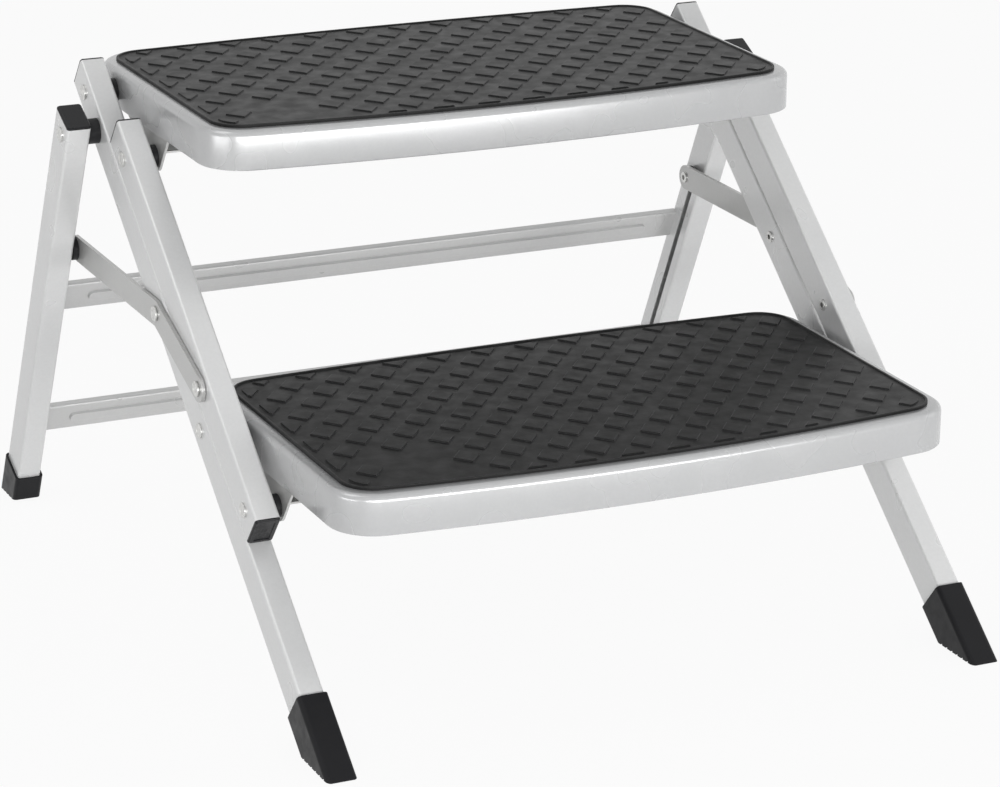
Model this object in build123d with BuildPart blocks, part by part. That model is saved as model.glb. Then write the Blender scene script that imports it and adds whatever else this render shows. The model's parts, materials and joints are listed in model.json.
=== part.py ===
from build123d import *
import os
from math import atan2, cos, degrees, hypot, radians, sin

os.makedirs("parts", exist_ok=True)

# Folding two-step stool: two sloping front legs, a rear frame that swings in under
# them, two treads that stay level while they fold, and a linkage on each side.
# Millimetres. +Z is up, the stool stands on Z = 0, climbs towards +Y, and is
# symmetric about X = 0. A side-view point is (y, z).

# ------------------------------------------------------------------ tubes
TUBE_W = 20.0  # across, along X
TUBE_D = 30.0  # deep, square to the tube's run
TUBE_WALL = 1.0
TUBE_CORNER = 2.5
CAP_T = 2.2  # end caps stand this proud of the tube ends
CAP_BEVEL = 1.2
PLUG_LENGTH = 9.0
PLUG_SLACK = 0.3

# ------------------------------------------------------------------ front legs
LEG_SLOPE = 38.5  # degrees above the floor
S_TOP_STEP = 636.0  # along the leg from its toe to the top step's pivot
STEP_SPACING = 325.0  # between the two step pivots, along the leg
S_BOTTOM_STEP = S_TOP_STEP - STEP_SPACING
REAR_PIVOT_BELOW = 38.7  # below the top step's pivot, along the leg
S_REAR_PIVOT = S_TOP_STEP - REAR_PIVOT_BELOW
BRACE_ABOVE = 109.0  # above the bottom step's pivot, along the leg
S_BRACE = S_BOTTOM_STEP + BRACE_ABOVE
LEG_ABOVE = 22.6  # from the top step's pivot to the top of the cap
LEG_TOP = S_TOP_STEP + LEG_ABOVE

# ------------------------------------------------------------------ link tubes
LINK_BACK = 91.0  # each link pivot is this far down the leg from its step pivot
LINK_GAP = 0.7  # between a link and the front of its leg
LINK_PITCH = TUBE_D + LINK_GAP
LINK_ABOVE = 28.0  # from the link's top pin to the top of its cap
LINK_BELOW = 20.5  # from its bottom pin to the bottom of its cap
LINK_TOP = S_TOP_STEP - LINK_BACK + LINK_ABOVE
LINK_BOTTOM = S_BOTTOM_STEP - LINK_BACK - LINK_BELOW

# ------------------------------------------------------------------ rear frame
REAR_SLOPE = 64.4
REAR_ABOVE = 15.4  # rear leg's cap above its pivot
SLOT_OFF = 12.5  # slot and pivot behind the rear leg's front face
SLOT_W = 6.4
SLOT_TOP = 122.4  # from the rear pivot down to the brace pin, stool open
SLOT_BOTTOM = 364.6  # the same, stool folded
BAR_OFF = 24.0  # crossbars' front face behind the legs' front face
BAR_H = 32.0
BAR_DEPTH = 5.6
BAR_SHEET = 1.2
BAR_CORNER = 2.4
BAR_TOPS = {"upper": 169.3, "lower": 308.3}  # down the leg from the rear pivot
BEAD_H = 11.0
BEAD_RISE = 2.5
BEAD_SIDE = 28.0  # plain end of a crossbar, up to its bead
BEAD_TAPER = 20.0

# ------------------------------------------------------------------ boots
BOOT_WALL = 2.0
BOOT_CORNER = 3.5
SOLE = 3.0
FRONT_BOOT = 70.0  # along the leg from its toe
REAR_BOOT = 25.0
SOLE_GROOVE = 1.2
SOLE_GROOVE_W = 2.4
SOLE_GROOVE_PITCH = 7.5

# ------------------------------------------------------------------ steps
PAN_HALF = 250.0
PAN_FRONT = 237.0  # ahead of the step pivot, at the middle
PAN_REAR = 66.5  # behind it
FRONT_BOW = 13.0
REAR_BOW = 7.0
PAN_H = 32.0
PAN_ABOVE = 16.3  # pan's top above the step pivot
SHEET = 1.0
PAN_EDGE = 5.0
FRONT_CORNER = 28.0
REAR_CORNER = 22.0
HEM_H = 5.0
HEM_T = 1.0
MAT_RIM = 10.0
MAT_T = 2.5
MAT_BEVEL = 0.6
EAR_T = 2.0
EAR_R = 12.0
EAR_TOP_R = 3.0
EAR_LEAN = 12.0 / 17.0  # the ear's front edge leans this much per unit of height
CHANNEL_W = 26.0
CHANNEL_DROP = 11.5
CHANNEL_SHEET = 1.5

# ------------------------------------------------------------------ layers along X
GAP = 0.3
STEP_SPACE = 6.0  # between a tread's side and the front leg
BRACE_SPACE = 0.5
BRACE_T = 3.0
REAR_SPACE = 6.5  # between a brace plate and the rear leg
LEG_IN = PAN_HALF + STEP_SPACE
LEG_OUT = LEG_IN + TUBE_W
BRACE_IN = LEG_OUT + BRACE_SPACE
BRACE_OUT = BRACE_IN + BRACE_T
REAR_IN = BRACE_OUT + REAR_SPACE
REAR_OUT = REAR_IN + TUBE_W
EAR_OUT = PAN_HALF - SHEET
EAR_IN = EAR_OUT - EAR_T

# ------------------------------------------------------------------ brace plates
BRACE_R = 10.5
BUSH_R = 9.6
BUSH_T = 4.0

# ------------------------------------------------------------------ pivots
PIN_R = 3.0
PIN_FIT = 0.05
PIN_RUN = 0.1  # radial clearance where a piece turns on its pin
PIN_OPEN = 0.45  # radial clearance where the linkage closes on itself
HEAD_R = 6.0
HEAD_T = 1.5
HEAD_BEVEL = 0.4
DISH_R = 4.08
DISH_FLOOR_R = 3.6
DISH_DEPTH = 0.3
TAIL_R = 4.6
TAIL_T = 1.5
TAIL_HOLE_R = 2.1
TAIL_HOLE_DEPTH = 6.0
SPACER_R = 9.0
REAR_SPACER_R = 10.0

SIDES = (("left", -1), ("right", 1))

# ------------------------------------------------------------------ side view
c_leg, s_leg = cos(radians(LEG_SLOPE)), sin(radians(LEG_SLOPE))
c_rear, s_rear = cos(radians(REAR_SLOPE)), sin(radians(REAR_SLOPE))


def on_leg(s, off=TUBE_D / 2, toe=0.0):
    """Side-view point s up the front leg and off behind its front face."""
    return toe + s * c_leg + off * s_leg, s * s_leg - off * c_leg


def heel_y(toe):
    """Where the back of the rear boot meets the floor."""
    pivot_y, pivot_z = on_leg(S_REAR_PIVOT, toe=toe)
    off = TUBE_D + BOOT_WALL - SLOT_OFF
    down = (pivot_z + off * c_rear) / s_rear
    return pivot_y + down * c_rear + off * s_rear


# The toe goes where the boots' front and back ends are equally far from Y = 0.
TOE_Y = (BOOT_WALL / s_leg - heel_y(0.0)) / 2


def leg(s, off=TUBE_D / 2):
    return on_leg(s, off, TOE_Y)


def link(s, off=TUBE_D / 2):
    return leg(s, off - LINK_PITCH)


TOP_STEP = leg(S_TOP_STEP)
BOTTOM_STEP = leg(S_BOTTOM_STEP)
BRACE = leg(S_BRACE)
REAR_PIVOT = leg(S_REAR_PIVOT)
LINK_TOP_PIN = link(S_TOP_STEP - LINK_BACK)
LINK_BOTTOM_PIN = link(S_BOTTOM_STEP - LINK_BACK)
LINK_BRACE_PIN = link(S_BRACE - LINK_BACK)


def rear(down, off=SLOT_OFF):
    """Side-view point down the rear leg from its pivot, off behind its front face."""
    behind = off - SLOT_OFF
    return (
        REAR_PIVOT[0] + down * c_rear + behind * s_rear,
        REAR_PIVOT[1] - down * s_rear + behind * c_rear,
    )


BRACE_PIN = rear(SLOT_TOP)
REAR_FLOOR = (REAR_PIVOT[1] - SLOT_OFF * c_rear) / s_rear  # down to the floor


def leg_plane(point, x):
    """Across a front leg or link: local x is X, local y points to the back."""
    return Plane(origin=(x, *point), x_dir=(1, 0, 0), z_dir=(0, c_leg, s_leg))


def rear_plane(point, x):
    """Across a rear leg, looking up it: local y points to the back."""
    return Plane(origin=(x, *point), x_dir=(1, 0, 0), z_dir=(0, -c_rear, s_rear))


def side_plane(sign, inner, outer):
    """The face nearer the left of a layer from inner to outer, in side view."""
    return Plane.YZ.offset(min(sign * inner, sign * outer))


def tube_outline():
    RectangleRounded(TUBE_W, TUBE_D, TUBE_CORNER)


def tube_profile():
    tube_outline()
    RectangleRounded(
        TUBE_W - 2 * TUBE_WALL,
        TUBE_D - 2 * TUBE_WALL,
        TUBE_CORNER - TUBE_WALL,
        mode=Mode.SUBTRACT,
    )


def drill(sign, inner, outer, holes):
    """Holes along X through the layer from inner to outer: (point, radius)."""
    for point, radius in holes:
        with BuildSketch(side_plane(sign, inner, outer)) as hole:
            with Locations(point):
                Circle(radius)
        extrude(hole.sketch, amount=outer - inner, mode=Mode.SUBTRACT)


def disc(sign, inner, outer, point, radius, bore):
    """A round spacer between two layers."""
    with BuildSketch(side_plane(sign, inner, outer)) as ring:
        with Locations(point):
            Circle(radius)
            Circle(bore, mode=Mode.SUBTRACT)
    extrude(ring.sketch, amount=outer - inner)


def rivet(sign, point, tail_face, head_face):
    """A tubular rivet: flat dished head outside, rolled open tail inside."""
    tail_end = tail_face - TAIL_T
    head_end = head_face + HEAD_T
    plane = Plane(origin=(0, *point), x_dir=(sign, 0, 0), z_dir=(0, -sign, 0))
    with BuildSketch(plane) as half:
        with BuildLine():
            Polyline(
                (tail_end + TAIL_HOLE_DEPTH, 0),
                (tail_end + TAIL_HOLE_DEPTH, TAIL_HOLE_R),
                (tail_end, TAIL_HOLE_R),
                (tail_end, TAIL_R - HEAD_BEVEL),
                (tail_end + HEAD_BEVEL, TAIL_R),
                (tail_face, TAIL_R),
                (tail_face, PIN_R),
                (head_face, PIN_R),
                (head_face, HEAD_R),
                (head_end - HEAD_BEVEL, HEAD_R),
                (head_end, HEAD_R - HEAD_BEVEL),
                (head_end, DISH_R),
                (head_end - DISH_DEPTH, DISH_FLOOR_R),
                (head_end - DISH_DEPTH, 0),
                close=True,
            )
        make_face()
    revolve(half.sketch, axis=Axis((0, *point), (1, 0, 0)))


def cap(plane):
    """A bevelled end plate with its plug; the plane is the tube's end face."""
    with BuildSketch(plane) as end:
        tube_outline()
    extrude(end.sketch, amount=CAP_T)
    chamfer(
        edges().group_by(Axis(plane.origin, plane.z_dir))[-1],
        length=CAP_BEVEL,
    )
    with BuildSketch(plane) as plug:
        slack = TUBE_WALL + PLUG_SLACK
        RectangleRounded(
            TUBE_W - 2 * slack, TUBE_D - 2 * slack, TUBE_CORNER - TUBE_WALL
        )
    extrude(plug.sketch, amount=-PLUG_LENGTH)


def sole_grooves(front_y, rise):
    """Grip grooves across the sole of a boot whose tube front meets the floor at
    front_y and climbs by rise (a sine) per unit of its length."""
    reach = TUBE_D / rise
    count = int(reach // SOLE_GROOVE_PITCH)
    middle = front_y + reach / 2
    with BuildSketch(Plane.XY) as grooves:
        with Locations((0, middle)):
            with GridLocations(0, SOLE_GROOVE_PITCH, 1, count):
                Rectangle(3 * REAR_OUT, SOLE_GROOVE_W)
    extrude(grooves.sketch, amount=SOLE_GROOVE, mode=Mode.SUBTRACT)


# ------------------------------------------------------------------ front legs
for side, sign in SIDES:
    x = sign * (LEG_IN + LEG_OUT) / 2
    with BuildPart() as front_leg:
        with BuildSketch(leg_plane(leg(0), x)):
            tube_profile()
        extrude(amount=LEG_TOP - CAP_T)
        split(bisect_by=Plane.XY.offset(SOLE), keep=Keep.TOP)
        drill(
            sign,
            LEG_IN,
            LEG_OUT,
            (
                (TOP_STEP, PIN_R + PIN_FIT),
                (BOTTOM_STEP, PIN_R + PIN_FIT),
                (BRACE, PIN_R + PIN_FIT),
                (REAR_PIVOT, PIN_R + PIN_RUN),
            ),
        )
    front_leg.part.label = f"front_leg_{side}"
    export_step(front_leg.part, f"parts/front_leg_{side}.step")

    with BuildPart() as front_cap:
        cap(leg_plane(leg(LEG_TOP - CAP_T), x))
    front_cap.part.label = f"front_leg_cap_{side}"
    export_step(front_cap.part, f"parts/front_leg_cap_{side}.step")

    with BuildPart() as front_bore:
        with BuildSketch(leg_plane(leg(0), x)):
            tube_outline()
        extrude(amount=LEG_TOP)
        split(bisect_by=Plane.XY.offset(SOLE), keep=Keep.TOP)
    with BuildPart() as front_foot:
        with BuildSketch(leg_plane(leg(-FRONT_BOOT), x)):
            RectangleRounded(TUBE_W + 2 * BOOT_WALL, TUBE_D + 2 * BOOT_WALL, BOOT_CORNER)
        extrude(amount=2 * FRONT_BOOT)
        split(bisect_by=Plane.XY, keep=Keep.TOP)
        sole_grooves(leg(0, 0)[0], s_leg)
        add(front_bore.part, mode=Mode.SUBTRACT)
    front_foot.part.label = f"front_foot_{side}"
    export_step(front_foot.part, f"parts/front_foot_{side}.step")

    with BuildPart() as step_spacers:
        for point in (TOP_STEP, BOTTOM_STEP):
            disc(sign, PAN_HALF + GAP, LEG_IN, point, SPACER_R, PIN_R + PIN_FIT)
    step_spacers.part.label = f"step_pivot_spacers_{side}"
    export_step(step_spacers.part, f"parts/step_pivot_spacers_{side}.step")

    with BuildPart() as rear_spacer:
        disc(sign, LEG_OUT, REAR_IN - GAP, REAR_PIVOT, REAR_SPACER_R, PIN_R + PIN_RUN)
    rear_spacer.part.label = f"rear_pivot_spacer_{side}"
    export_step(rear_spacer.part, f"parts/rear_pivot_spacer_{side}.step")

    with BuildPart() as front_rivets:
        for point in (TOP_STEP, BOTTOM_STEP):
            rivet(sign, point, EAR_IN - GAP, LEG_OUT)
        rivet(sign, BRACE, LEG_IN, BRACE_OUT + GAP)
    front_rivets.part.label = f"front_leg_rivets_{side}"
    export_step(front_rivets.part, f"parts/front_leg_rivets_{side}.step")


# ------------------------------------------------------------------ steps
def pan_outline(pivot_y):
    """Plan of the tread: bowed front and back edges, rounded corners."""
    front = pivot_y - PAN_FRONT
    back = pivot_y + PAN_REAR
    with BuildLine() as edge:
        ThreePointArc(
            (-PAN_HALF, front + FRONT_BOW), (0, front), (PAN_HALF, front + FRONT_BOW)
        )
        Line((PAN_HALF, front + FRONT_BOW), (PAN_HALF, back - REAR_BOW))
        ThreePointArc(
            (PAN_HALF, back - REAR_BOW), (0, back), (-PAN_HALF, back - REAR_BOW)
        )
        Line((-PAN_HALF, back - REAR_BOW), (-PAN_HALF, front + FRONT_BOW))
    make_face(edge.line.edges())


def round_corners(sketch):
    corners = sketch.vertices().group_by(Axis.Y)
    fillet(corners[0], radius=FRONT_CORNER)
    fillet(sketch.vertices().group_by(Axis.Y)[-1], radius=REAR_CORNER)


STEPS = (
    ("top", TOP_STEP, PIN_RUN),
    ("bottom", BOTTOM_STEP, PIN_OPEN),
)
for level, pivot, link_clearance in STEPS:
    pivot_y, pivot_z = pivot
    pan_top = pivot_z + PAN_ABOVE
    pan_bottom = pan_top - PAN_H
    pin_y = pivot_y + LINK_TOP_PIN[0] - TOP_STEP[0]
    pin_z = pivot_z + LINK_TOP_PIN[1] - TOP_STEP[1]
    ear_top = pan_top - PAN_EDGE - EAR_TOP_R
    ear_front = pin_y - EAR_R - (ear_top - pin_z) * EAR_LEAN
    ear_back = pivot_y + EAR_R

    with BuildPart() as pan:
        with BuildSketch(Plane.XY.offset(pan_bottom)) as outline:
            pan_outline(pivot_y)
            round_corners(outline)
        extrude(amount=PAN_H)
        fillet(pan.edges().group_by(Axis.Z)[-1], radius=PAN_EDGE)
        offset(amount=-SHEET, openings=pan.faces().sort_by(Axis.Z)[0])
        with BuildSketch(Plane.XY.offset(pan_bottom)) as hem:
            pan_outline(pivot_y)
            round_corners(hem)
            offset(amount=-SHEET, mode=Mode.REPLACE)
            offset(amount=-HEM_T, mode=Mode.SUBTRACT)
        extrude(amount=HEM_H)
        # The hem is left off where the bracket's ears lie against the flanges.
        for side, sign in SIDES:
            with BuildSketch(side_plane(sign, EAR_OUT - HEM_T, EAR_OUT)):
                with Locations((ear_front - EAR_TOP_R, pan_bottom)):
                    Rectangle(
                        ear_back - ear_front + 2 * EAR_TOP_R,
                        HEM_H,
                        align=(Align.MIN, Align.MIN),
                    )
            extrude(amount=HEM_T, mode=Mode.SUBTRACT)
            drill(sign, EAR_OUT, PAN_HALF, ((pivot, PIN_R + PIN_RUN),))
    pan.part.label = f"step_pan_{level}"
    export_step(pan.part, f"parts/step_pan_{level}.step")

    with BuildPart() as mat:
        with BuildSketch(Plane.XY.offset(pan_top)) as mat_plan:
            pan_outline(pivot_y)
            round_corners(mat_plan)
            offset(amount=-MAT_RIM, mode=Mode.REPLACE)
        extrude(amount=MAT_T)
        chamfer(mat.edges().group_by(Axis.Z)[-1], length=MAT_BEVEL)
    mat.part.label = f"tread_mat_{level}"
    export_step(mat.part, f"parts/tread_mat_{level}.step")

    channel_bottom = pan_bottom - CHANNEL_DROP
    channel_front = pin_y - EAR_R - (channel_bottom - pin_z) * EAR_LEAN
    with BuildPart() as bracket:
        for side, sign in SIDES:
            with BuildSketch(side_plane(sign, EAR_IN, EAR_OUT)):
                with Locations((pin_y, pin_z)):
                    Circle(EAR_R)
                with Locations((ear_front, ear_top), (ear_back, ear_top)):
                    Circle(EAR_TOP_R)
                make_hull()
            extrude(amount=EAR_T)
        with BuildSketch(Plane.YZ.offset(-EAR_IN)) as channel:
            with Locations((channel_front, channel_bottom)):
                Rectangle(CHANNEL_W, CHANNEL_DROP, align=(Align.MIN, Align.MIN))
            with Locations((channel_front, channel_bottom + CHANNEL_SHEET)):
                Rectangle(
                    CHANNEL_W - CHANNEL_SHEET,
                    CHANNEL_DROP - 2 * CHANNEL_SHEET,
                    align=(Align.MIN, Align.MIN),
                    mode=Mode.SUBTRACT,
                )
            fillet(channel.vertices().group_by(Axis.X)[-1], radius=CHANNEL_SHEET)
        extrude(amount=2 * EAR_IN)
        for side, sign in SIDES:
            drill(
                sign,
                EAR_IN,
                EAR_OUT,
                ((pivot, PIN_R + PIN_RUN), ((pin_y, pin_z), PIN_R + link_clearance)),
            )
    bracket.part.label = f"step_bracket_{level}"
    export_step(bracket.part, f"parts/step_bracket_{level}.step")


# ------------------------------------------------------------------ link tubes
for side, sign in SIDES:
    x = sign * (LEG_IN + LEG_OUT) / 2
    bottom = leg_plane(link(LINK_BOTTOM + CAP_T), x)
    top = leg_plane(link(LINK_TOP - CAP_T), x)
    with BuildPart() as link_tube:
        with BuildSketch(bottom):
            tube_profile()
        extrude(amount=LINK_TOP - LINK_BOTTOM - 2 * CAP_T)
        drill(
            sign,
            LEG_IN,
            LEG_OUT,
            (
                (LINK_TOP_PIN, PIN_R + PIN_FIT),
                (LINK_BOTTOM_PIN, PIN_R + PIN_FIT),
                (LINK_BRACE_PIN, PIN_R + PIN_FIT),
            ),
        )
    link_tube.part.label = f"link_tube_{side}"
    export_step(link_tube.part, f"parts/link_tube_{side}.step")

    with BuildPart() as link_cap:
        cap(top)
    link_cap.part.label = f"link_cap_top_{side}"
    export_step(link_cap.part, f"parts/link_cap_top_{side}.step")

    foot_end = Plane(origin=bottom.origin, x_dir=(1, 0, 0), z_dir=(0, -c_leg, -s_leg))
    with BuildPart() as link_foot_cap:
        cap(foot_end)
        with BuildSketch(foot_end.offset(CAP_T)):
            Rectangle(TUBE_W - 6 * CAP_BEVEL, TUBE_D - 6 * CAP_BEVEL)
        extrude(amount=-CAP_BEVEL / 2, mode=Mode.SUBTRACT)
    link_foot_cap.part.label = f"link_cap_bottom_{side}"
    export_step(link_foot_cap.part, f"parts/link_cap_bottom_{side}.step")

    with BuildPart() as link_spacers:
        for point in (LINK_TOP_PIN, LINK_BOTTOM_PIN):
            disc(sign, EAR_OUT + GAP, LEG_IN, point, SPACER_R, PIN_R + PIN_FIT)
    link_spacers.part.label = f"link_spacers_{side}"
    export_step(link_spacers.part, f"parts/link_spacers_{side}.step")

    with BuildPart() as link_rivets:
        for point in (LINK_TOP_PIN, LINK_BOTTOM_PIN):
            rivet(sign, point, EAR_IN - GAP, LEG_OUT)
        rivet(sign, LINK_BRACE_PIN, LEG_IN, BRACE_OUT + GAP)
    link_rivets.part.label = f"link_rivets_{side}"
    export_step(link_rivets.part, f"parts/link_rivets_{side}.step")


# ------------------------------------------------------------------ brace plates
def arm(start, end):
    """A round-ended bar between two side-view points."""
    run, rise = end[0] - start[0], end[1] - start[1]
    middle = ((start[0] + end[0]) / 2, (start[1] + end[1]) / 2)
    turn = degrees(atan2(rise, run))
    with Locations(middle):
        SlotCenterToCenter(hypot(run, rise), 2 * BRACE_R, rotation=turn)


for side, sign in SIDES:
    with BuildPart() as brace_plate:
        with BuildSketch(side_plane(sign, BRACE_IN, BRACE_OUT)) as blade:
            arm(BRACE, LINK_BRACE_PIN)
            arm(BRACE, BRACE_PIN)
        extrude(amount=BRACE_T)
        drill(
            sign,
            BRACE_IN,
            BRACE_OUT,
            (
                (BRACE, PIN_R + PIN_RUN),
                (LINK_BRACE_PIN, PIN_R + PIN_OPEN),
                (BRACE_PIN, PIN_R + PIN_FIT),
            ),
        )
    brace_plate.part.label = f"brace_plate_{side}"
    export_step(brace_plate.part, f"parts/brace_plate_{side}.step")

    with BuildPart() as bush:
        disc(sign, BRACE_OUT, BRACE_OUT + BUSH_T, BRACE_PIN, BUSH_R, PIN_R + PIN_FIT)
    bush.part.label = f"brace_bush_{side}"
    export_step(bush.part, f"parts/brace_bush_{side}.step")

    with BuildPart() as end_pin:
        disc(sign, BRACE_IN - TAIL_T, BRACE_IN, BRACE_PIN, TAIL_R, TAIL_HOLE_R)
        disc(sign, BRACE_IN, BRACE_IN + TAIL_T, BRACE_PIN, PIN_R, TAIL_HOLE_R)
        with BuildSketch(side_plane(sign, BRACE_IN + TAIL_T, REAR_IN - GAP)):
            with Locations(BRACE_PIN):
                Circle(PIN_R)
        extrude(amount=REAR_IN - GAP - BRACE_IN - TAIL_T)
    end_pin.part.label = f"brace_end_pin_{side}"
    export_step(end_pin.part, f"parts/brace_end_pin_{side}.step")


# ------------------------------------------------------------------ rear frame
rear_length = REAR_ABOVE - CAP_T + REAR_FLOOR
for side, sign in SIDES:
    x = sign * (REAR_IN + REAR_OUT) / 2
    with BuildPart() as rear_leg:
        with BuildSketch(rear_plane(rear(REAR_FLOOR + TUBE_D, TUBE_D / 2), x)):
            tube_profile()
        extrude(amount=rear_length + TUBE_D)
        split(bisect_by=Plane.XY.offset(SOLE), keep=Keep.TOP)
        drill(sign, REAR_IN, REAR_OUT, ((REAR_PIVOT, PIN_R + PIN_FIT),))
        with BuildSketch(side_plane(sign, REAR_IN, REAR_IN + TUBE_WALL)):
            with Locations(rear((SLOT_TOP + SLOT_BOTTOM) / 2)):
                SlotCenterToCenter(
                    SLOT_BOTTOM - SLOT_TOP, SLOT_W, rotation=-REAR_SLOPE
                )
        extrude(amount=TUBE_WALL, mode=Mode.SUBTRACT)
    rear_leg.part.label = f"rear_leg_{side}"
    export_step(rear_leg.part, f"parts/rear_leg_{side}.step")

    with BuildPart() as rear_cap:
        cap(rear_plane(rear(CAP_T - REAR_ABOVE, TUBE_D / 2), x))
    rear_cap.part.label = f"rear_leg_cap_{side}"
    export_step(rear_cap.part, f"parts/rear_leg_cap_{side}.step")

    with BuildPart() as rear_bore:
        with BuildSketch(rear_plane(rear(REAR_FLOOR + TUBE_D, TUBE_D / 2), x)):
            tube_outline()
        extrude(amount=rear_length)
        split(bisect_by=Plane.XY.offset(SOLE), keep=Keep.TOP)
    with BuildPart() as rear_foot:
        with BuildSketch(rear_plane(rear(REAR_FLOOR + TUBE_D, TUBE_D / 2), x)):
            RectangleRounded(TUBE_W + 2 * BOOT_WALL, TUBE_D + 2 * BOOT_WALL, BOOT_CORNER)
        extrude(amount=REAR_BOOT + TUBE_D)
        split(bisect_by=Plane.XY, keep=Keep.TOP)
        sole_grooves(rear(REAR_FLOOR, 0)[0], s_rear)
        add(rear_bore.part, mode=Mode.SUBTRACT)
    rear_foot.part.label = f"rear_foot_{side}"
    export_step(rear_foot.part, f"parts/rear_foot_{side}.step")

    with BuildPart() as rear_rivet:
        rivet(sign, REAR_PIVOT, LEG_IN - GAP, REAR_OUT)
    rear_rivet.part.label = f"rear_pivot_rivet_{side}"
    export_step(rear_rivet.part, f"parts/rear_pivot_rivet_{side}.step")


bead_end = REAR_IN - BEAD_SIDE
for level, bar_top in BAR_TOPS.items():
    middle = rear(bar_top + BAR_H / 2, BAR_OFF)
    # Section plane: local x points to the back, local y up the rear leg.
    section = Plane(
        origin=(-REAR_IN, *middle), x_dir=(0, s_rear, c_rear), z_dir=(1, 0, 0)
    )
    face = Plane(origin=(0, *middle), x_dir=(1, 0, 0), z_dir=(0, -s_rear, -c_rear))
    with BuildPart() as crossbar:
        with BuildSketch(section) as bar:
            Rectangle(BAR_DEPTH, BAR_H, align=(Align.MIN, Align.CENTER))
            fillet(bar.vertices().group_by(Axis.X)[0], radius=BAR_CORNER)
            with Locations((BAR_SHEET, 0)):
                Rectangle(
                    BAR_DEPTH,
                    BAR_H - 2 * BAR_SHEET,
                    align=(Align.MIN, Align.CENTER),
                    mode=Mode.SUBTRACT,
                )
        extrude(amount=2 * REAR_IN)
        with BuildSketch(face):
            SlotOverall(2 * bead_end, BEAD_H)
        extrude(amount=BEAD_RISE, taper=BEAD_TAPER)
        with BuildSketch(face.offset(-BAR_SHEET)):
            SlotOverall(2 * bead_end - 2 * BAR_SHEET, BEAD_H - 2 * BAR_SHEET)
        extrude(amount=BEAD_RISE, taper=BEAD_TAPER, mode=Mode.SUBTRACT)
    crossbar.part.label = f"rear_crossbar_{level}"
    export_step(crossbar.part, f"parts/rear_crossbar_{level}.step")
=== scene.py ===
import json
from math import atan2, cos, radians, sin

import bmesh
import bpy
from mathutils import Matrix, Vector


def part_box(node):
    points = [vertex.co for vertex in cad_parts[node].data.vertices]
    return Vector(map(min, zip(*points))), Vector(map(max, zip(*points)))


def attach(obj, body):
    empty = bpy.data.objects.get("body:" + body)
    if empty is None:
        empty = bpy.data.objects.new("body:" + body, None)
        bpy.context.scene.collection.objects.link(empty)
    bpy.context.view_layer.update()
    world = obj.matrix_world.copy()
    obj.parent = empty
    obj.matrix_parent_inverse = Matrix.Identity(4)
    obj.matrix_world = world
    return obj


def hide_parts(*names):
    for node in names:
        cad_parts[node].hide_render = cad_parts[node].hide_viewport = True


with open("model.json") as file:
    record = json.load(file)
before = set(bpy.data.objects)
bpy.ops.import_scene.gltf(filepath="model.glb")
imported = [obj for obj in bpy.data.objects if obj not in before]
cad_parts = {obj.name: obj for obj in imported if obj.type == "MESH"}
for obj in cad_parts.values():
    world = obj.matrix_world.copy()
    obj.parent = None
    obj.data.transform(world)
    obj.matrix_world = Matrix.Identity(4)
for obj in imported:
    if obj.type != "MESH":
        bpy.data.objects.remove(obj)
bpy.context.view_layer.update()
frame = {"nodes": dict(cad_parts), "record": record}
MM = 0.001
QUARTER = radians(90)

# ---------------------------------------------------------------- camera
VIEW_AZIMUTH = radians(-24.93)
VIEW_ELEVATION = radians(18.80)
VIEW_ROLL = radians(0.56)
VIEW_DISTANCE = 2.908
VIEW_TARGET = Vector((0.01223, 0.00509, 0.1457))  # near the middle of the stool
VIEW_FAR = 50.0
SENSOR = 36.0
FOCAL_WIDTHS = 3.6067  # focal length in widths of the image


def set_camera():
    ahead = Vector(
        (
            -sin(VIEW_AZIMUTH) * cos(VIEW_ELEVATION),
            cos(VIEW_AZIMUTH) * cos(VIEW_ELEVATION),
            -sin(VIEW_ELEVATION),
        )
    )
    right = Vector((cos(VIEW_AZIMUTH), sin(VIEW_AZIMUTH), 0.0))
    up = right.cross(ahead)
    rolled_right = right * cos(VIEW_ROLL) + up * sin(VIEW_ROLL)
    rolled_up = up * cos(VIEW_ROLL) - right * sin(VIEW_ROLL)
    data = bpy.data.cameras.new("camera")
    data.sensor_width = SENSOR
    data.sensor_fit = "HORIZONTAL"
    data.lens = FOCAL_WIDTHS * SENSOR
    data.clip_end = VIEW_FAR
    camera = bpy.data.objects.new("camera", data)
    bpy.context.collection.objects.link(camera)
    axes = Matrix((rolled_right, rolled_up, -ahead)).transposed().to_4x4()
    camera.matrix_world = Matrix.Translation(VIEW_TARGET - ahead * VIEW_DISTANCE) @ axes
    bpy.context.scene.camera = camera


# ---------------------------------------------------------------- shader nodes
def feed(tree, socket, value):
    """Links an input to an output socket, or sets it to a constant."""
    if isinstance(value, bpy.types.NodeSocket):
        tree.links.new(value, socket)
    else:
        socket.default_value = value


def feed_all(tree, node, inputs):
    """Feeds inputs of a node by name, with _ for each space in the name."""
    for key, value in inputs.items():
        feed(tree, node.inputs[key.replace("_", " ")], value)


def add_node(tree, kind, **inputs):
    node = tree.nodes.new(kind)
    feed_all(tree, node, inputs)
    return node


def calculate(tree, operation, first, second):
    """The result of a Math node."""
    node = add_node(tree, "ShaderNodeMath")
    node.operation = operation
    feed(tree, node.inputs[0], first)
    feed(tree, node.inputs[1], second)
    return node.outputs["Value"]


def map_range(tree, value, start, stop, low, high):
    """Runs from low to high while the value runs from start to stop."""
    node = add_node(
        tree,
        "ShaderNodeMapRange",
        Value=value,
        From_Min=start,
        From_Max=stop,
        To_Min=low,
        To_Max=high,
    )
    return node.outputs["Result"]


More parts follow.
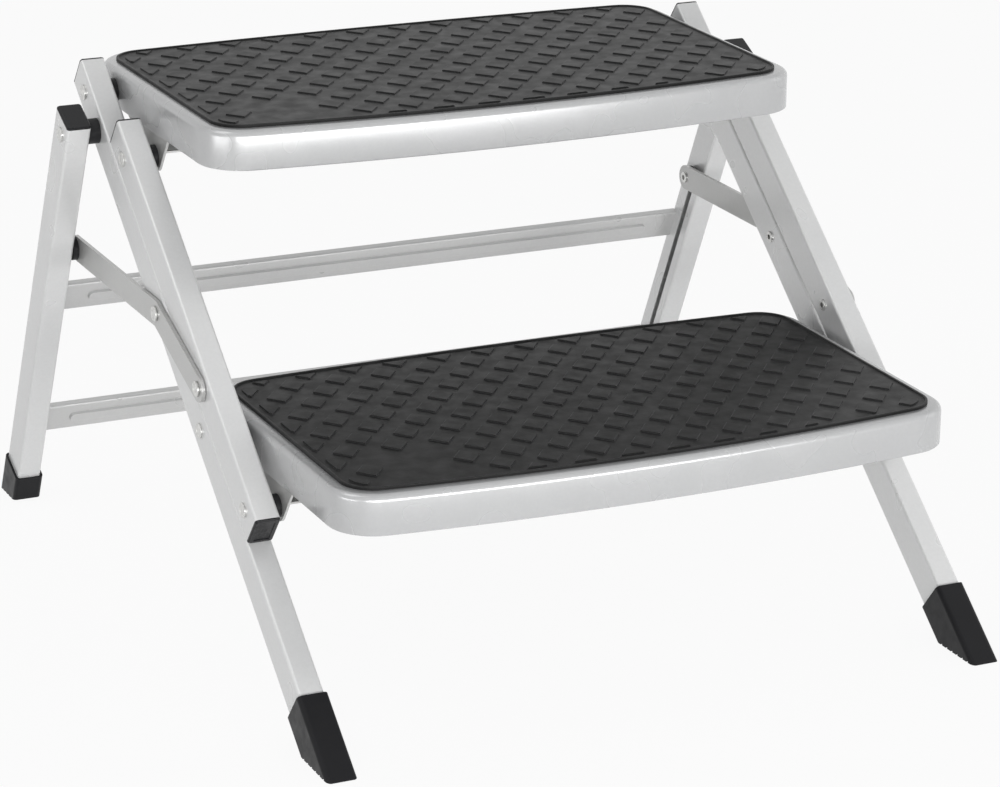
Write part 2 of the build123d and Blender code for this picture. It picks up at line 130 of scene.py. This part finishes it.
def blend(tree, share, first, second):
    """The first shader, with this share of the second."""
    node = add_node(tree, "ShaderNodeMixShader", Fac=share)
    feed(tree, node.inputs[1], first)
    feed(tree, node.inputs[2], second)
    return node.outputs["Shader"]


# ---------------------------------------------------------------- materials
NOISE_LOW, NOISE_HIGH = 0.3, 0.7  # most of a noise's values lie between these
EDGE_SAMPLES = 4
EDGE_FULLY_PALE = 0.93  # dot product of bevelled and true normal on a fully pale edge: a scuff on plastic, a painted highlight on metal and rubber
PALEST = 0.95
MIX_FIRST, MIX_SECOND, MIX_RESULT = 6, 7, 2  # the Mix node's colour sockets


class Nodes:
    """Builds one material's node tree around a Principled shader."""

    def __init__(self, name):
        self.material = bpy.data.materials.new(name)
        self.material.use_nodes = True
        self.tree = self.material.node_tree
        self.shader = self.tree.nodes["Principled BSDF"]

    def set(self, **inputs):
        feed_all(self.tree, self.shader, inputs)

    def noise(self, scale, detail, rough=0.5):
        place = add_node(self.tree, "ShaderNodeTexCoord").outputs["Object"]
        node = add_node(
            self.tree,
            "ShaderNodeTexNoise",
            Vector=place,
            Scale=scale,
            Detail=detail,
            Roughness=rough,
        )
        return node.outputs["Fac"]

    def ramp(self, noise, low, high):
        """A colour that runs from low to high with the noise."""
        node = add_node(self.tree, "ShaderNodeValToRGB", Fac=noise)
        ends = ((NOISE_LOW, low), (NOISE_HIGH, high))
        for element, (position, tint) in zip(node.color_ramp.elements, ends):
            element.position = position
            element.color = (*tint, 1.0)
        return node.outputs["Color"]

    def span(self, noise, low, high):
        """A number that runs from low to high with the noise."""
        return map_range(self.tree, noise, NOISE_LOW, NOISE_HIGH, low, high)

    def mix(self, share, first, second, mode="MIX"):
        node = add_node(self.tree, "ShaderNodeMix")
        node.data_type = "RGBA"
        node.blend_type = mode
        feed(self.tree, node.inputs["Factor"], share)
        feed(self.tree, node.inputs[MIX_FIRST], first)
        feed(self.tree, node.inputs[MIX_SECOND], second)
        return node.outputs[MIX_RESULT]

    def edge(self, radius, share):
        """This share on pale edges, 0 elsewhere: scuffs on plastic, a painted highlight
        on metal and rubber.
        """
        bevel = add_node(self.tree, "ShaderNodeBevel", Radius=radius)
        bevel.samples = EDGE_SAMPLES
        geometry = add_node(self.tree, "ShaderNodeNewGeometry")
        dot = add_node(self.tree, "ShaderNodeVectorMath")
        dot.operation = "DOT_PRODUCT"
        feed(self.tree, dot.inputs[0], bevel.outputs["Normal"])
        feed(self.tree, dot.inputs[1], geometry.outputs["Normal"])
        return map_range(self.tree, dot.outputs["Value"], 1.0, EDGE_FULLY_PALE, 0.0, share)

    def scuff_and_highlight_edges(self, body, pale, radius, share):
        """Sets the base colour, with paler edges: scuffed wear on plastic, a painted
        highlight on metal and rubber.
        """
        edge = self.edge(radius, share)
        self.set(Base_Color=self.mix(edge, body, (*pale, 1.0)))

    def bump(self, height, strength, distance):
        """Adds one more bump on top of the earlier ones."""
        node = add_node(
            self.tree,
            "ShaderNodeBump",
            Height=height,
            Strength=strength,
            Distance=distance,
        )
        normal = self.shader.inputs["Normal"]
        if normal.is_linked:
            feed(self.tree, node.inputs["Normal"], normal.links[0].from_socket)
        self.set(Normal=node.outputs["Normal"])


def shade(tint, share):
    return [min(c * share, PALEST) for c in tint]


def coated_metal(name, tint, metallic, rough):
    """Satin silver coat: fine flake, slow drift, faint orange peel, and paler edges
    that are a painted highlight.
    """
    m = Nodes(name)
    flake = m.noise(scale=400.0, detail=1.0)
    flecked = m.ramp(flake, shade(tint, 0.985), shade(tint, 1.015))
    drift = m.ramp(m.noise(scale=9.0, detail=3.0), (0.95, 0.95, 0.955), (1.0, 1.0, 1.0))
    body = m.mix(1.0, flecked, drift, "MULTIPLY")
    # paler edges: a painted highlight along the coat's edges
    m.scuff_and_highlight_edges(body, shade(tint, 1.25), radius=0.6 * MM, share=0.6)
    m.set(
        Metallic=metallic,
        Roughness=m.span(m.noise(scale=25.0, detail=1.0), rough - 0.03, rough + 0.03),
        Coat_Weight=0.25,
        Coat_Roughness=0.22,
    )
    m.bump(m.noise(scale=220.0, detail=1.0), strength=0.03, distance=0.2 * MM)
    return m.material


def rivet_metal():
    """Bright zinc, slightly mottled."""
    m = Nodes("rivet_zinc")
    mottle = m.noise(scale=420.0, detail=4.0)
    m.set(
        Base_Color=m.ramp(mottle, (0.50, 0.50, 0.49), (0.72, 0.72, 0.70)),
        Metallic=0.9,
        Roughness=m.span(m.noise(scale=180.0, detail=3.0), 0.26, 0.42),
    )
    m.bump(m.noise(scale=700.0, detail=3.0), strength=0.12, distance=0.2 * MM)
    return m.material


SCUFFED = (0.05, 0.05, 0.053)


def moulded(name, dark, rough, grain, coat=0.0):
    """Moulded black plastic or rubber: fine grain, scuffed paler edges."""
    m = Nodes(name)
    body = m.ramp(m.noise(scale=34.0, detail=5.0, rough=0.65), dark, shade(dark, 1.35))
    m.scuff_and_highlight_edges(body, SCUFFED, radius=0.7 * MM, share=0.55)
    m.set(
        Roughness=m.span(m.noise(scale=110.0, detail=4.0), rough - 0.07, rough + 0.08),
        Specular_IOR_Level=0.2,
        Coat_Weight=coat,
        Coat_Roughness=0.18,
    )
    m.bump(m.noise(scale=grain, detail=2.0), strength=0.22, distance=0.2 * MM)
    m.bump(m.noise(scale=46.0, detail=2.0), strength=0.05, distance=0.6 * MM)
    return m.material


def tread_rubber():
    """Black rubber: dusty drift in the colour, fine pebble grain, and a painted
    highlight on its edges.
    """
    m = Nodes("tread_rubber")
    dust = m.noise(scale=16.0, detail=6.0, rough=0.6)
    drift = m.ramp(dust, (0.009, 0.009, 0.009), (0.014, 0.014, 0.014))
    pebbles = m.noise(scale=450.0, detail=1.0)
    speck = m.ramp(pebbles, (0.92, 0.92, 0.92), (1.08, 1.08, 1.08))
    body = m.mix(1.0, drift, speck, "MULTIPLY")
    # paler rim and diamond edges: a painted highlight standing in for glints
    m.scuff_and_highlight_edges(body, (0.14, 0.14, 0.14), radius=0.6 * MM, share=0.4)
    m.set(
        Roughness=m.span(m.noise(scale=70.0, detail=4.0), 0.36, 0.50),
        Specular_IOR_Level=0.13,
    )
    m.bump(pebbles, strength=0.12, distance=0.3 * MM)
    m.bump(m.noise(scale=30.0, detail=2.0), strength=0.06, distance=1.0 * MM)
    return m.material


TUBE_SILVER = (0.72, 0.722, 0.718)
SHEET_SILVER = (0.50, 0.503, 0.505)
PLATE_SILVER = (0.50, 0.50, 0.49)
# the crossbars are plate steel; this copy of its silver is painted paler, a painted
# light that lifts them out of the shade under the treads
CROSSBAR_PAINTED_LIGHT_SILVER = (0.61, 0.61, 0.605)
BLACK = (0.006, 0.006, 0.007)
NYLON_BLACK = (0.014, 0.014, 0.015)

MATERIALS = {
    "coated_tube": coated_metal("tube_silver", TUBE_SILVER, 0.24, 0.30),
    "coated_sheet": coated_metal("sheet_silver", SHEET_SILVER, 0.38, 0.27),
    "plate_steel": coated_metal("plate_silver", PLATE_SILVER, 0.35, 0.32),
    "rivet_metal": rivet_metal(),
    "tread_rubber": tread_rubber(),
    "boot_rubber": moulded("boot_rubber", BLACK, rough=0.42, grain=800.0),
    "cap_plastic": moulded("cap_plastic", BLACK, rough=0.30, grain=500.0, coat=0.1),
    "spacer_plastic": moulded("spacer_nylon", NYLON_BLACK, rough=0.45, grain=600.0),
}
# plate steel painted paler for the crossbars: painted light against the shade under the
# treads
CROSSBAR_PAINTED_LIGHT_METAL = coated_metal("crossbar_painted_light_silver", CROSSBAR_PAINTED_LIGHT_SILVER, 0.20, 0.30)
SLOTS = {entry["node"]: entry["material_slot"] for entry in frame["record"]["subparts"]}


def dress_frame():
    """Each CAD node takes the detailed material of its slot."""
    for name, slot in SLOTS.items():
        node = frame["nodes"][name]
        node.data.materials.clear()
        node.data.materials.append(MATERIALS[slot])


# ---------------------------------------------------------------- tread outline
FRONT_BOW = 16.0 * MM
REAR_BOW = 7.0 * MM
FRONT_IN = 0.5 * MM  # the edges of pans and mats lie this much inside the CAD nodes'
REAR_IN = 4.0 * MM
SMALLEST_CORNER = 1.0 * MM
SIDE_STEPS = 24
BOW_STEPS = 26
CORNER_STEPS = 10


def spread(start, end, count):
    """The ends of count equal steps from start to end."""
    return [start + (end - start) * k / count for k in range(count + 1)]


def corner_points(centre, radius, start, end):
    """Points on a corner's arc, angles in radians."""
    return [
        Vector((centre[0] + radius * cos(turn), centre[1] + radius * sin(turn)))
        for turn in spread(start, end, CORNER_STEPS)
    ]


class TreadPlan:
    """Plan outline of a pan or mat: bowed front and rear edges, rounded corners."""

    def __init__(self, low, high, corner):
        self.half = high.x
        self.corner = corner
        self.front = (low.y, 1.0, FRONT_BOW)
        self.rear = (high.y, -1.0, REAR_BOW)

    def end(self, edge, inset):
        """One bowed edge moved inwards.

        Gives its level at x, its reach to either side and its slope there, and the
        centre and radius of the corner at +X.
        """
        middle, inwards, full_bow = edge
        half = self.half - inset
        bow = full_bow * (half / self.half) ** 2
        corner = max(self.corner - inset, SMALLEST_CORNER)
        reach = half - corner
        slope = atan2(2 * bow * reach / half, half)
        reach += corner * sin(slope)

        def level(x):
            return middle + inwards * (inset + bow * (x / half) ** 2)

        centre = (half - corner, level(reach) + inwards * corner * cos(slope))
        return level, reach, slope, centre, corner

    def ring(self, inset):
        """The outline moved inwards, anticlockwise from the front edge's left end."""
        half = self.half - inset
        front, reach, slope, (side, near), corner = self.end(self.front, inset)
        points = [Vector((x, front(x))) for x in spread(-reach, reach, BOW_STEPS)[:-1]]
        points += corner_points((side, near), corner, slope - QUARTER, 0.0)
        last = corner_points((-side, near), corner, 2 * QUARTER, 3 * QUARTER - slope)

        rear, reach, slope, (side, far), corner = self.end(self.rear, inset)
        points += [Vector((half, y)) for y in spread(near, far, SIDE_STEPS)[1:-1]]
        points += corner_points((side, far), corner, 0.0, QUARTER - slope)
        points += [Vector((x, rear(x))) for x in spread(reach, -reach, BOW_STEPS)[1:-1]]
        points += corner_points((-side, far), corner, QUARTER + slope, 2 * QUARTER)
        points += [Vector((-half, y)) for y in spread(far, near, SIDE_STEPS)[1:-1]]
        return points + last[:-1]


# ---------------------------------------------------------------- pieces
SHARP_EDGE = radians(35)


def add_skin(bm, rings):
    """Faces between rings of as many points each, and one on the last ring."""
    loops = [[bm.verts.new((p.x, p.y, z)) for p in ring] for ring, z in rings]
    for lower, upper in zip(loops, loops[1:]):
        for k in range(len(lower)):
            j = (k + 1) % len(lower)
            bm.faces.new((lower[k], lower[j], upper[j], upper[k]))
    bm.faces.new(loops[-1])
    return loops


def add_closed_skin(bm, rings):
    loops = add_skin(bm, rings)
    bm.faces.new(list(reversed(loops[0])))


def add_piece(name, bm, material, node, body, smooth):
    """The mesh as a piece that replaces a CAD node and rides on its body."""
    mesh = bpy.data.meshes.new(name)
    bm.normal_update()
    bm.to_mesh(mesh)
    bm.free()
    mesh.materials.append(material)
    if smooth:
        mesh.polygons.foreach_set("use_smooth", [True] * len(mesh.polygons))
        mesh.set_sharp_from_angle(angle=SHARP_EDGE)
    piece = bpy.data.objects.new(name, mesh)
    bpy.context.collection.objects.link(piece)
    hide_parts(node)
    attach(piece, body)


# ---------------------------------------------------------------- step pans
PAN_CORNER = 36.0 * MM
PAN_BOTTOM_UP = 1.5 * MM  # the walls end this much above the CAD node's
PAN_EDGE = 5.0 * MM  # outer radius of the upper edge
PAN_EDGE_STEPS = 6
PAN_SHEET = 1.0 * MM
HEM_HEIGHT = 5.0 * MM
HEM_FALL = 0.2 * MM  # fall of the hem's upper side, from the wall inwards
HEM_SHEET = 1.0 * MM
HEM_ROUND = 0.8 * MM
EAR_MARGIN = 2.0 * MM
SIDE_BAND = 0.5 * MM  # points this near to a straight side belong to it


def make_pan(level):
    """Pressed tray: rounded upper edge, bowed front, hem left off at the ears."""
    node = f"step_pan_{level}"
    low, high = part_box(node)
    low = Vector(low) + Vector((0.0, FRONT_IN, PAN_BOTTOM_UP))
    high = Vector(high) - Vector((0.0, REAR_IN, 0.0))
    ears = [corner[1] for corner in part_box(f"step_bracket_{level}")]
    plan = TreadPlan(low, high, PAN_CORNER)

    def hem_ring(inset):
        """The hem's inner face, which lies back against the flange at the ears."""
        ring = plan.ring(inset)
        for p in ring:
            beside = abs(p.x) > plan.half - inset - SIDE_BAND
            if beside and ears[0] - EAR_MARGIN < p.y < ears[1] + EAR_MARGIN:
                p.x += (inset - PAN_SHEET) * (1 if p.x > 0 else -1)
        return ring

    inner = PAN_EDGE - PAN_SHEET
    hem_inset = PAN_SHEET + HEM_SHEET
    turns = spread(0.0, QUARTER, PAN_EDGE_STEPS)
    rings = [
        (
            plan.ring(PAN_SHEET + inner * (1 - sin(turn))),
            high.z - PAN_SHEET - inner * (1 - cos(turn)),
        )
        for turn in turns
    ]
    rings += [
        (plan.ring(PAN_SHEET), low.z + HEM_HEIGHT),
        (hem_ring(hem_inset), low.z + HEM_HEIGHT - HEM_FALL),
        (hem_ring(hem_inset), low.z + HEM_ROUND),
        (plan.ring(PAN_SHEET), low.z),
    ]
    rings += [
        (plan.ring(HEM_ROUND * (1 - sin(turn))), low.z + HEM_ROUND * (1 - cos(turn)))
        for turn in turns[::2]
    ]
    rings += [
        (plan.ring(PAN_EDGE * (1 - cos(turn))), high.z - PAN_EDGE * (1 - sin(turn)))
        for turn in turns
    ]
    bm = bmesh.new()
    add_closed_skin(bm, rings)
    metal = MATERIALS["coated_sheet"]
    add_piece(f"pan_{level}_pressing", bm, metal, node, f"{level}_step", smooth=True)


# ---------------------------------------------------------------- crossbars
REAR_SLOPE = radians(64.4)  # the rear legs' lean, on which the crossbars lie
BAR_KEEP = 0.863  # height as a share of the CAD bar's, from its lower edge up


def make_crossbar(level):
    """The pressed bar with its bead, its upper edge where the photograph has it."""
    node = f"rear_crossbar_{level}"
    name = f"crossbar_{level}_pressing"
    bm = bmesh.new()
    bm.from_mesh(frame["nodes"][node].data)
    up = Vector((0.0, -cos(REAR_SLOPE), sin(REAR_SLOPE)))
    foot = min(v.co.dot(up) for v in bm.verts)
    for v in bm.verts:
        v.co -= up * (v.co.dot(up) - foot) * (1.0 - BAR_KEEP)
    add_piece(name, bm, CROSSBAR_PAINTED_LIGHT_METAL, node, "rear_frame", smooth=True)


# ---------------------------------------------------------------- tread mats
MAT_CORNER = 26.0 * MM
MAT_BEHIND_PIVOT = 56.5 * MM  # from the step pivot to the CAD node's rear edge
MAT_ROUND = 0.6 * MM  # rounding of the mat's upper edge
MAT_ROUND_STEPS = 4
MAT_FIELD = 1.1 * MM  # the field lies this much below the mat's highest level
RIM = 1.9 * MM  # width of the raised rim, to the middle of its inner edge
RIM_EDGE = 0.5 * MM  # half the width of that inner edge
RIM_DROP = 0.15 * MM  # depth of its middle below the highest level
PAD_HALF_X = 10.6 * MM
PAD_HALF_Y = 13.0 * MM
PAD_PITCH_X = 37.8 * MM
PAD_ROW = 22.0 * MM
PAD_PHASE_X = -4.0 * MM
PAD_PHASE_Y = -110.3 * MM  # a row's distance from the step pivot
PAD_SLOPE = 0.85 * MM
PAD_SHOULDER = 0.35  # the shoulder lies inwards by this share of the slope
PAD_SHOULDER_DROP = 0.25  # and below the top by this share of the height
PAD_TOP = 0.8  # the top lies inwards by this share of the slope
PAD_SINK = 0.05 * MM  # foot below the field, and top below the rim
PAD_MARGIN = 7.0 * MM
PAD_SMALLEST = 0.15  # a cut pad under this share of a whole one is left out
PATCH_X = (-200.0 * MM, -150.0 * MM)  # a plain patch without pads
PATCH_Y = (-203.0 * MM, -150.0 * MM)  # measured from the step pivot
NO_LENGTH = 1e-9
NO_NORMAL = 1e-6
SMALLEST_BEND = 0.35  # keeps a sharp corner's point from running far inwards


def clip(polygon, outline):
    """Convex clip of one plan polygon by another (Sutherland-Hodgman)."""
    kept = list(polygon)
    for k, a in enumerate(outline):
        b = outline[(k + 1) % len(outline)]
        edge = b - a
        if edge.length < NO_LENGTH:
            continue
        before, kept = kept, []
        for j, p in enumerate(before):
            q = before[(j + 1) % len(before)]
            side_p = edge.x * (p.y - a.y) - edge.y * (p.x - a.x)
            side_q = edge.x * (q.y - a.y) - edge.y * (q.x - a.x)
            if side_p >= 0:
                kept.append(p)
            if (side_p >= 0) != (side_q >= 0):
                kept.append(p.lerp(q, side_p / (side_p - side_q)))
        if len(kept) < 3:
            return []
    return kept


def plan_area(polygon):
    return 0.5 * sum(
        p.x * q.y - q.x * p.y for p, q in zip(polygon, polygon[1:] + polygon[:1])
    )


def shrink(polygon, distance):
    """A convex polygon moved inwards by distance."""
    middle = sum(polygon, Vector((0, 0))) / len(polygon)
    moved = []
    count = len(polygon)
    for k, p in enumerate(polygon):
        before = (p - polygon[k - 1]).normalized()
        after = (polygon[(k + 1) % count] - p).normalized()
        normal = Vector((-before.y - after.y, before.x + after.x))
        if normal.length < NO_NORMAL:
            normal = (middle - p).normalized() * 2
        bend = max(before.dot(after) + 1.0, SMALLEST_BEND)
        moved.append(p + normal * distance / bend)
    return moved


def add_pad(bm, polygon, foot, top):
    """A raised pad with sloped sides and a softened top edge, open below."""
    shoulder = top - (top - foot) * PAD_SHOULDER_DROP
    rings = (
        (polygon, foot),
        (shrink(polygon, PAD_SLOPE * PAD_SHOULDER), shoulder),
        (shrink(polygon, PAD_SLOPE * PAD_TOP), top),
    )
    add_skin(bm, rings)


def pad_centres(low, high, pivot_y):
    """Centres of the diamonds, in staggered rows, without the plain patch."""
    rows = int((high.y - low.y) / PAD_ROW) + 2
    columns = int((high.x - low.x) / PAD_PITCH_X) + 2
    for row in range(-rows, rows + 1):
        y = pivot_y + PAD_PHASE_Y + row * PAD_ROW
        beside_patch = PATCH_Y[0] < y - pivot_y < PATCH_Y[1]
        for column in range(-columns, columns + 1):
            x = PAD_PHASE_X + (column + 0.5 * (row % 2)) * PAD_PITCH_X
            if not (beside_patch and PATCH_X[0] < x < PATCH_X[1]):
                yield x, y


def make_mat(level):
    """The moulded mat: raised rim, lower field, and rows of raised diamonds."""
    node = f"tread_mat_{level}"
    low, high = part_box(node)
    pivot_y = high[1] - MAT_BEHIND_PIVOT
    low = Vector(low) + Vector((0.0, FRONT_IN, 0.0))
    high = Vector(high) - Vector((0.0, REAR_IN, 0.0))
    plan = TreadPlan(low, high, MAT_CORNER)
    field = high.z - MAT_FIELD
    profile = [(0.0, low.z), (0.0, high.z - MAT_ROUND)]
    profile += [
        (MAT_ROUND * (1 - cos(turn)), high.z - MAT_ROUND * (1 - sin(turn)))
        for turn in spread(0.0, QUARTER, MAT_ROUND_STEPS)[1:]
    ]
    profile += [
        (RIM - RIM_EDGE, high.z),
        (RIM, high.z - RIM_DROP),
        (RIM + RIM_EDGE, field),
    ]
    bm = bmesh.new()
    add_closed_skin(bm, [(plan.ring(inset), z) for inset, z in profile])
    limit = plan.ring(PAD_MARGIN)
    smallest = PAD_SMALLEST * 2 * PAD_HALF_X * PAD_HALF_Y
    for x, y in pad_centres(low, high, pivot_y):
        diamond = [
            Vector((x, y - PAD_HALF_Y)),
            Vector((x + PAD_HALF_X, y)),
            Vector((x, y + PAD_HALF_Y)),
            Vector((x - PAD_HALF_X, y)),
        ]
        piece = clip(diamond, limit)
        if piece and plan_area(piece) > smallest:
            add_pad(bm, piece, field - PAD_SINK, high.z - PAD_SINK)
    rubber = MATERIALS["tread_rubber"]
    add_piece(f"tread_{level}_rubber", bm, rubber, node, f"{level}_step", smooth=False)


# ---------------------------------------------------------------- stage
WHITE = (1.0, 1.0, 1.0, 1.0)
HORIZON_LIGHT = 0.85
ZENITH_LIGHT = 0.30
LEFT_SHARE = 0.35  # the dome is dimmer on the left, down to this share
RIGHT_FROM = 0.3  # and full from this sideways part of its direction on
DOME_TINT = (0.98, 0.99, 1.0, 1.0)
FLOOR_WHITE = 0.93  # share of plain white in the floor where it is seen
FLOOR_GREY = (0.86, 0.86, 0.86, 1.0)
FLOOR_ROUGH = 0.9
FLOOR_REACH = 12.0

# Each lamp: its place, the point that it faces, its width and height, and its power.
LAMPS = {
    "key": ((-1.5, 0.2, 2.5), (0.0, 0.0, 0.2), (1.2, 1.2), 7.0),
    "front": ((-0.2, -2.2, 0.3), (0.0, 0.0, 0.05), (2.8, 0.5), 36.0),
    "left": ((-2.0, -0.6, 0.1), (0.0, 0.0, 0.0), (1.4, 0.2), 5.0),
    "fill": ((2.6, -0.8, 1.2), (0.0, 0.0, 0.2), (1.4, 1.8), 3.0),
}


def area_light(name, place, aim, size, power):
    data = bpy.data.lights.new(name, "AREA")
    data.shape = "RECTANGLE"
    data.size, data.size_y = size
    data.energy = power
    lamp = bpy.data.objects.new(name, data)
    bpy.context.collection.objects.link(lamp)
    ahead = Vector(aim) - Vector(place)
    lamp.location = place
    lamp.rotation_euler = ahead.to_track_quat("-Z", "Y").to_euler()


def seen_rays(tree, share):
    """The share for camera, glossy and transmission rays, 0 for all others."""
    rays = add_node(tree, "ShaderNodeLightPath").outputs
    seen = calculate(tree, "MAXIMUM", rays["Is Camera Ray"], rays["Is Glossy Ray"])
    seen = calculate(tree, "MAXIMUM", seen, rays["Is Transmission Ray"])
    return calculate(tree, "MULTIPLY", seen, share)


def set_world():
    """White where it is seen; as light, a dome that is brighter near the horizon."""
    world = bpy.data.worlds.new("world")
    bpy.context.scene.world = world
    world.use_nodes = True
    tree = world.node_tree
    tree.nodes.clear()
    place = add_node(tree, "ShaderNodeTexCoord").outputs["Generated"]
    ahead = add_node(tree, "ShaderNodeSeparateXYZ", Vector=place).outputs
    height = map_range(tree, ahead["Z"], 0.0, 1.0, HORIZON_LIGHT, ZENITH_LIGHT)
    across = map_range(tree, ahead["X"], -1.0, RIGHT_FROM, LEFT_SHARE, 1.0)
    strength = calculate(tree, "MULTIPLY", height, across)
    dome = add_node(tree, "ShaderNodeBackground", Color=DOME_TINT, Strength=strength)
    white = add_node(tree, "ShaderNodeBackground", Color=WHITE, Strength=1.0)
    both = blend(
        tree,
        seen_rays(tree, 1.0),
        dome.outputs["Background"],
        white.outputs["Background"],
    )
    add_node(tree, "ShaderNodeOutputWorld", Surface=both)


def make_floor():
    """A plain pale floor, nearly white where it is seen, that keeps the shadow."""
    mesh = bpy.data.meshes.new("floor")
    bm = bmesh.new()
    reach = FLOOR_REACH
    corners = ((-reach, -reach), (reach, -reach), (reach, reach), (-reach, reach))
    bm.faces.new([bm.verts.new((x, y, 0.0)) for x, y in corners])
    bm.to_mesh(mesh)
    bm.free()
    floor = bpy.data.objects.new("floor", mesh)
    bpy.context.collection.objects.link(floor)
    m = Nodes("floor_pale")
    m.set(Base_Color=FLOOR_GREY, Roughness=FLOOR_ROUGH, Specular_IOR_Level=0.0)
    glow = add_node(m.tree, "ShaderNodeEmission", Color=WHITE, Strength=1.0)
    both = blend(
        m.tree,
        seen_rays(m.tree, FLOOR_WHITE),
        m.shader.outputs["BSDF"],
        glow.outputs["Emission"],
    )
    feed(m.tree, m.tree.nodes["Material Output"].inputs["Surface"], both)
    mesh.materials.append(m.material)


# ---------------------------------------------------------------- build
set_camera()
set_world()
make_floor()
for name, lamp in LAMPS.items():
    area_light(name, *lamp)
dress_frame()
for level in ("top", "bottom"):
    make_pan(level)
    make_mat(level)
for level in ("upper", "lower"):
    make_crossbar(level)
bpy.context.scene.view_settings.view_transform = "Standard"
